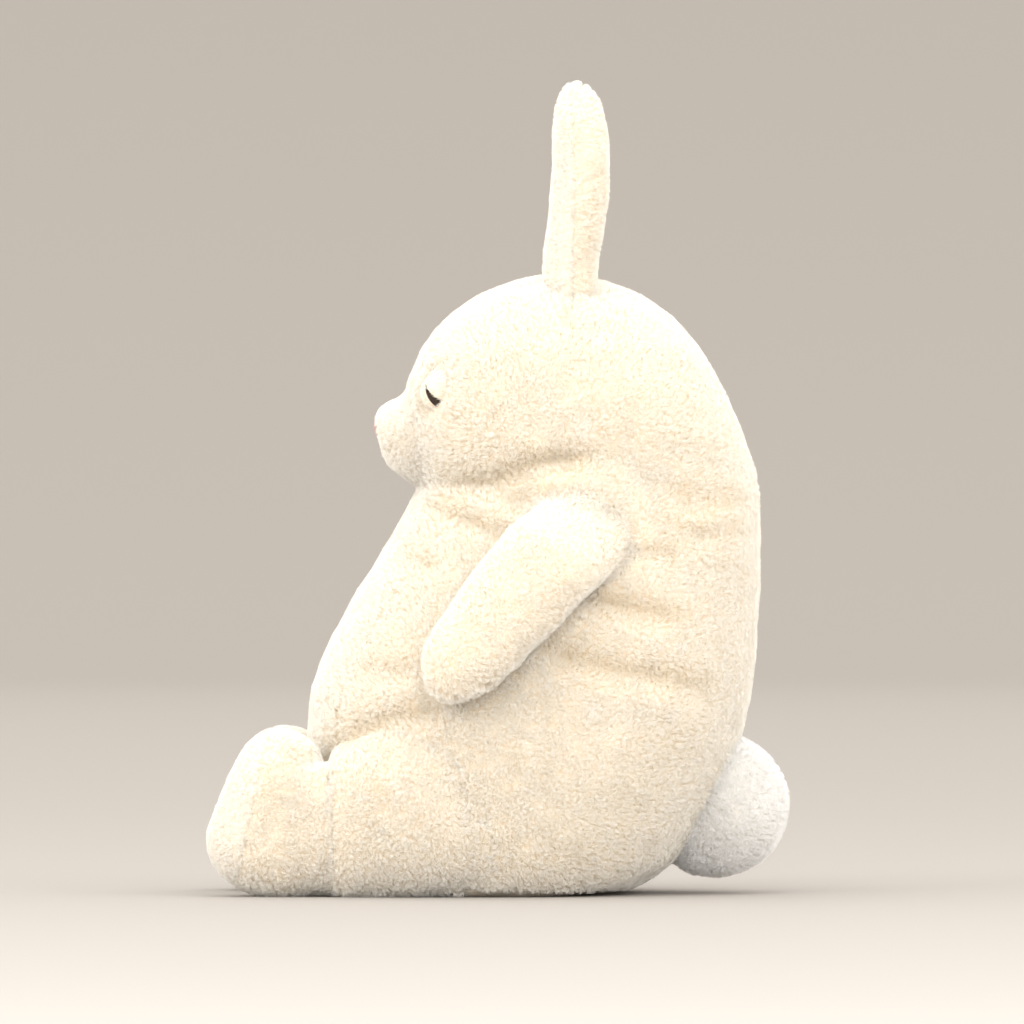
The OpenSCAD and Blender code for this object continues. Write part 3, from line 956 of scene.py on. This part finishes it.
def plainFinish(name, group):
    look = plainLook[name]
    material, nodes, links, shader = newMaterial(name)
    grain = addGroup(nodes, links, group)
    grain.inputs["Scale"].default_value = look["scale"]
    grain.inputs["Dark"].default_value = (*[part * (1 - look["dark"]) for part in look["color"]], 1)
    grain.inputs["Light"].default_value = (*look["color"], 1)
    grain.inputs["Rough"].default_value = look["rough"]
    links.new(grain.outputs["Color"], shader.inputs["Base Color"])
    links.new(grain.outputs["Roughness"], shader.inputs["Roughness"])
    addBump(nodes, links, grain.outputs["Height"], shader, 0.6, look["depth"])
    return material


def wovenFinish(name, group):
    material, nodes, links, shader = newMaterial(name)
    weave = addGroup(nodes, links, group)
    links.new(weave.outputs["Color"], shader.inputs["Base Color"])
    shader.inputs["Roughness"].default_value = 0.9
    addBump(nodes, links, weave.outputs["Height"], shader, 0.7, 0.15 * mm)
    return material


buildStudio()
print("studio done")
pileGroup = buildPileGroup()
cloth = {name: pileCloth(name, pileGroup) for name in pileFinish}
strands = {name: strandMaterial(name) for name in strandFinish}
grainGroup = buildGrainGroup()
plain = {name: plainFinish(name, grainGroup) for name in plainLook}
cottonFinish = wovenFinish("pouchCotton", buildWeaveGroup())


def finishFor(node):
    if node.startswith("tail_half_"):
        return "tail"
    if node.startswith(("ear_lining_", "foot_sole_", "muzzle_panel")):
        return "pale"
    return "cream"


def dressPanel(node, form, chosen, thickness, seed):
    panel = cutPanel(node + "_skin", form, chosen, thickness)
    look = finishFor(node)
    panel.data.materials.append(cloth[look + "Pile"])
    panel.data.materials.append(strands[look + "Strand"])
    if pileLength(node):
        growPile(panel, seed, pileLength(node), strands[look + "Strand"])
    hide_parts(node)
    return panel


body = buildBody()
print("body form", len(body.data.vertices))
limbs = limbList()
weld, patches = buildWeld(body, limbs)
print("limbs welded", len(weld.data.vertices))
addRelief(body)
addRelief(weld)

bodyPanels = ["side_panel_left", "side_panel_right", "crown_gusset", "belly_panel", "base_panel",
              "muzzle_panel", "leg_panel_left", "leg_panel_right"]
owner = shareFaces(body, bodyPanels)
sinkSeams(body, owner, np.ones(len(owner), bool), 0.7 * mm)
for number, node in enumerate(bodyPanels):
    panel = dressPanel(node, body, owner == number, 2.5 * mm, 1 + number)
    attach(panel, "body")
print("body panels done")

for place, (limb, patch) in enumerate(zip(limbs, patches)):
    owner = np.full(len(patch), -1)
    tree, owners = treeOf(nodeMeshes(*limb["panels"]))
    centres = faceCentres(weld.data)[patch]
    owner[patch] = owners[nearest(tree, centres)[1]]
    sinkSeams(weld, owner, patch, 0.7 * mm)
    for number, node in enumerate(limb["panels"]):
        panel = dressPanel(node, weld, owner == number, 2.2 * mm, 10 + 2 * place + number)
        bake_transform(panel)
print("limb panels done")
skinTree, owners = treeOf([body.data])
removeForms(body, weld)


fillLook = {
    "body": {"voxel": 4 * mm, "lumps": 1.2 * mm, "finish": "wadding", "fill": 0.8},
    "muzzle": {"voxel": 2 * mm, "lumps": 1.2 * mm, "finish": "wadding", "fill": 0.8},
    "limb": {"voxel": 3 * mm, "lumps": 1.0 * mm, "finish": "wadding", "fill": 0.8},
    "pellets": {"voxel": 2 * mm, "lumps": 0.8 * mm, "finish": "pellets", "fill": 0.9},
    "lumpSize": 14 * mm,
}


def fillNode(node, kind, bodyName, blendLimb=None):
    look = fillLook[kind]
    piece = softForm(node + "_soft", nodeMeshes(node), look["voxel"], 2, -0.4 * mm)
    if node.startswith("arm_"):
        sinkShoulder(piece, blendLimb, "filling")
        clearBody(piece, blendLimb, "filling", skinTree)
    texture = bpy.data.textures.new("lumps", "CLOUDS")
    texture.noise_scale = fillLook["lumpSize"]
    addModifier(piece, "DISPLACE", texture=texture, texture_coords="LOCAL",
                strength=-look["lumps"], mid_level=0.2)
    applyModifiers(piece)
    shadeSmooth(piece)
    piece.data.materials.append(plain[look["finish"]])
    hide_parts(node)
    if blendLimb:
        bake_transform(piece)
    else:
        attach(piece, bodyName)


for node in ("body_stuffing", "head_stuffing", "muzzle_stuffing", "leg_stuffing_left",
             "leg_stuffing_right"):
    fillNode(node, "muzzle" if node == "muzzle_stuffing" else "body", "body")
for limb in limbs:
    fillNode(limb["core"], "limb", limb["name"], limb)
fillNode("pellet_fill", "pellets", "body")
for node in ("pellet_pouch_top", "pellet_pouch_bottom"):
    pouch = softForm(node + "_soft", nodeMeshes(node), 1.0 * mm, 1, 0)
    pouch.data.materials.append(cottonFinish)
    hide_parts(node)
    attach(pouch, "body")
print("filling done")


lidLook = {
    "toeOut": 34,              # degrees between the eye's axis and straight ahead
    "bulge": 5.5 * mm,         # of the plastic dome
    "ball": 10.11 * mm,        # the dome's radius
    "reach": 15 * mm,          # how far the lid runs out over the face
    "slope": -50,              # of the lid's edge, down towards the cheek
    "sink": -4.5 * mm,         # its outer rim, under the face's pile
    "cloth": 1.2 * mm,
    "pile": 0.3,
    # the upper fold and the lower rim: side of the slit, edge from the eye's middle, tilt, height
    "halves": [
        {"way": 1, "edge": 3.4 * mm, "tilt": 0.0, "lift": 1.2 * mm},
        {"way": -1, "edge": 0.2 * mm, "tilt": 0.36, "lift": 0.5 * mm},
    ],
}


def useFinish(node, finish):
    target = frame["nodes"][node]
    target.data.materials.clear()
    target.data.materials.append(finish)


# The lid over the dome: a slit crosses the eye, its outer rim dives into the face
def buildLid(side):
    sign = sideSign[side]
    turn = math.radians(lidLook["toeOut"])
    ahead = np.array((sign * math.sin(turn), -math.cos(turn), 0))
    outward = np.array((sign * math.cos(turn), math.sin(turn), 0))
    upward = np.array((0, 0, 1))
    dome, faces = readMesh(frame["nodes"]["eye_" + side].data)
    reach = dome @ ahead
    middle = dome.mean(0)
    middle += ahead * (reach.max() - lidLook["bulge"] - middle @ ahead)
    slope = math.radians(lidLook["slope"])
    along = outward * math.cos(slope) + upward * math.sin(slope)
    over = -outward * math.sin(slope) + upward * math.cos(slope)
    rim, ball = lidLook["reach"], lidLook["ball"]
    points, faces = [], []
    columns, rows = 48, 24
    for half in lidLook["halves"]:
        first = len(points)
        lean = math.atan(half["tilt"])
        rise = math.asin(half["edge"] / (rim * math.hypot(1, half["tilt"])))
        for row in range(rows + 1):
            for column in range(columns + 1):
                angle = lean + rise + (math.pi - 2 * rise) * column / columns
                x = rim * math.cos(angle)
                edge = half["edge"] + half["tilt"] * x
                y = edge + (rim * math.sin(angle) - edge) * row / rows
                r = math.hypot(x, y)
                domed = math.sqrt(max(ball ** 2 - min(r, 9 * mm) ** 2, 0)) + lidLook["bulge"] - ball
                out = min(max((r - 7 * mm) / (rim - 7 * mm), 0), 1)
                out = out * out * (3 - 2 * out)
                height = (domed + half["lift"]) * (1 - out) + lidLook["sink"] * out
                points.append(middle + along * x + over * y * half["way"] + ahead * height)
        for row in range(rows):
            for column in range(columns):
                corner = first + row * (columns + 1) + column
                face = (corner, corner + 1, corner + columns + 2, corner + columns + 1)
                faces.append(face if sign * half["way"] < 0 else tuple(reversed(face)))
    lid = makePiece("eyelid_" + side + "_soft", points, faces)
    addModifier(lid, "SOLIDIFY", thickness=lidLook["cloth"], offset=-1)
    applyModifiers(lid)
    shadeSmooth(lid)
    lid["outerPoints"] = len(points)
    lid.data.materials.append(cloth["creamPile"])
    lid.data.materials.append(strands["creamStrand"])
    growPile(lid, 50 + sign, lidLook["pile"], strands["creamStrand"], trimmed=False)
    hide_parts("eyelid_" + side)
    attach(lid, "body")


for side in sideSign:
    useFinish("eye_" + side, plain["eyePlastic"])
    useFinish("eye_washer_" + side, plain["washerPlastic"])
    buildLid(side)

threadLook = {"thick": 0.55 * mm, "noseThick": 0.546 * mm, "plyLength": 2.4 * mm, "sides": 12}


# A two-ply twisted thread along a path
def buildThread(paths, thick):
    points, faces = [], []
    for path in paths:
        path = [Vector(place) for place in path]
        first = len(points)
        travelled = 0
        for number, place in enumerate(path):
            before, after = path[max(number - 1, 0)], path[min(number + 1, len(path) - 1)]
            ahead = (after - before).normalized()
            side = ahead.cross(Vector((0.2, 0.1, 1))).normalized()
            top = side.cross(ahead)
            travelled += (place - before).length
            taper = 0.35 if number in (0, len(path) - 1) else 1
            for step in range(threadLook["sides"]):
                angle = 2 * math.pi * step / threadLook["sides"]
                ply = 0.72 + 0.28 * abs(math.cos(angle - math.pi * travelled / threadLook["plyLength"]))
                out = side * math.cos(angle) + top * math.sin(angle)
                points.append(place + out * thick * ply * taper)
        count = threadLook["sides"]
        for ring in range(len(path) - 1):
            for step in range(count):
                near, far = first + ring * count + step, first + ring * count + (step + 1) % count
                faces.append((near, near + count, far + count, far))
        faces.append(tuple(range(first, first + count)))
        faces.append(tuple(reversed(range(len(points) - count, len(points)))))
    return [tuple(point) for point in points], faces


# A path laid on the muzzle between two points given as (sideways, up) in mm
def onMuzzle(start, end, steps, proud):
    path = []
    for step in range(steps + 1):
        share = step / steps
        x = (start[0] + (end[0] - start[0]) * share) * mm
        z = (start[1] + (end[1] - start[1]) * share) * mm
        hit = skinTree.ray_cast(Vector((x, -0.3, z)), Vector((0, 1, 0)))[0]
        rise = proud * math.sin(math.pi * share) - 0.2 * mm
        path.append(hit + Vector((0, -rise, 0)))
    return path


def threadPiece(node, paths, thick, finish):
    points, faces = buildThread(paths, thick)
    piece = makePiece(node + "_thread", points, faces)
    shadeSmooth(piece)
    piece.data.materials.append(finish)
    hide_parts(node)
    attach(piece, "body")


nosePaths = []
for number in range(17):
    x = -7.2 + 14.4 * number / 16
    nosePaths.append(onMuzzle((x, 266.6 - 0.02 * x * x), (x * 0.3, 257.6 + 0.5 * abs(x)), 8, 0.9 * mm))
threadPiece("nose_embroidery", nosePaths, threadLook["noseThick"], plain["noseThread"])
mouthPaths = [onMuzzle((0, 257.5), (0, 249.5), 10, 0.8 * mm)]
for sign in (-1, 1):
    mouthPaths.append(onMuzzle((sign * 0.6, 249.6), (sign * 8.2, 245), 12, 0.8 * mm))
threadPiece("mouth_stitches", mouthPaths, threadLook["thick"], plain["noseThread"])
ladder = readMesh(frame["nodes"]["closing_stitches"].data)[0]
ladderPaths = []
for number in range(-4, 5):
    rung = ladder[np.abs(ladder[:, 0] - number * 5 * mm) < 2 * mm]
    low, high = rung[rung[:, 2].argmin()], rung[rung[:, 2].argmax()]
    slant = np.array((0.8 * mm, 0, 0))
    ladderPaths.append([low - slant + (high - low + 2 * slant) * step / 8 for step in range(9)])
threadPiece("closing_stitches", ladderPaths, threadLook["thick"], plain["closingThread"])
print("eyes and stitches done")
